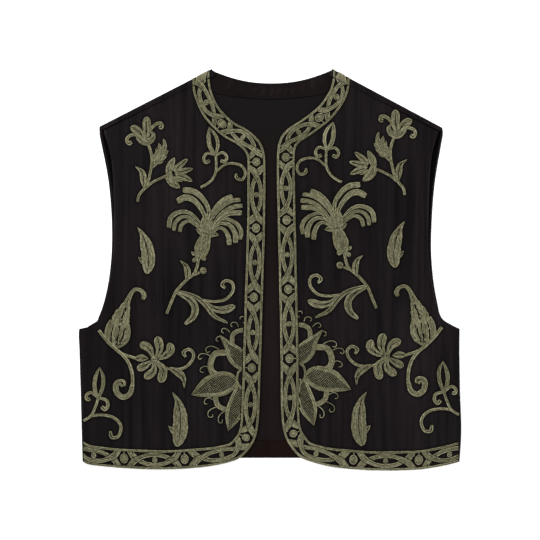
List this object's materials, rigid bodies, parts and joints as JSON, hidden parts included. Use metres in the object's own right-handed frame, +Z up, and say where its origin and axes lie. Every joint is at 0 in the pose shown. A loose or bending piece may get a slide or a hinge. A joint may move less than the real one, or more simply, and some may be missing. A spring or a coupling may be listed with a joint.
{
  "type": "embroidered vest",
  "caption": "Open-front sleeveless cropped vest laid flat, with round neck, floral stitched sprays and an interlaced stitched band along its front, neck and hem edges.",
  "frame": {"origin": "on the surface that the vest lies on, under the middle of its bounding box", "axes": "+Z up off the surface towards the front of the vest, +Y from the hem towards the neck, +X towards the wearer's left"},
  "size_m": [0.4961, 0.5215, 0.0078],
  "materials": {
    "cloth": "matte slubby weave",
    "lining": "smooth matte weave",
    "stitching": "matte chain stitching"
  },
  "bodies": {
    "root": {"back": "cloth", "front_right": "cloth", "front_left": "cloth", "lining": "lining", "neck_facing": "lining", "hem_facing": "lining", "border_right": "stitching", "border_left": "stitching", "border_shoulder_right": "stitching", "border_shoulder_left": "stitching", "upper_sprig_right": "stitching", "upper_sprig_left": "stitching", "trefoil_right": "stitching", "trefoil_left": "stitching", "carnation_right": "stitching", "carnation_left": "stitching", "upper_paisley_right": "stitching", "upper_paisley_left": "stitching", "leaf_spray_right": "stitching", "leaf_spray_left": "stitching", "side_trefoil_right": "stitching", "side_trefoil_left": "stitching", "lower_paisley_right": "stitching", "lower_paisley_left": "stitching", "half_flower_right": "stitching", "half_flower_left": "stitching"}
  },
  "joints": []
}
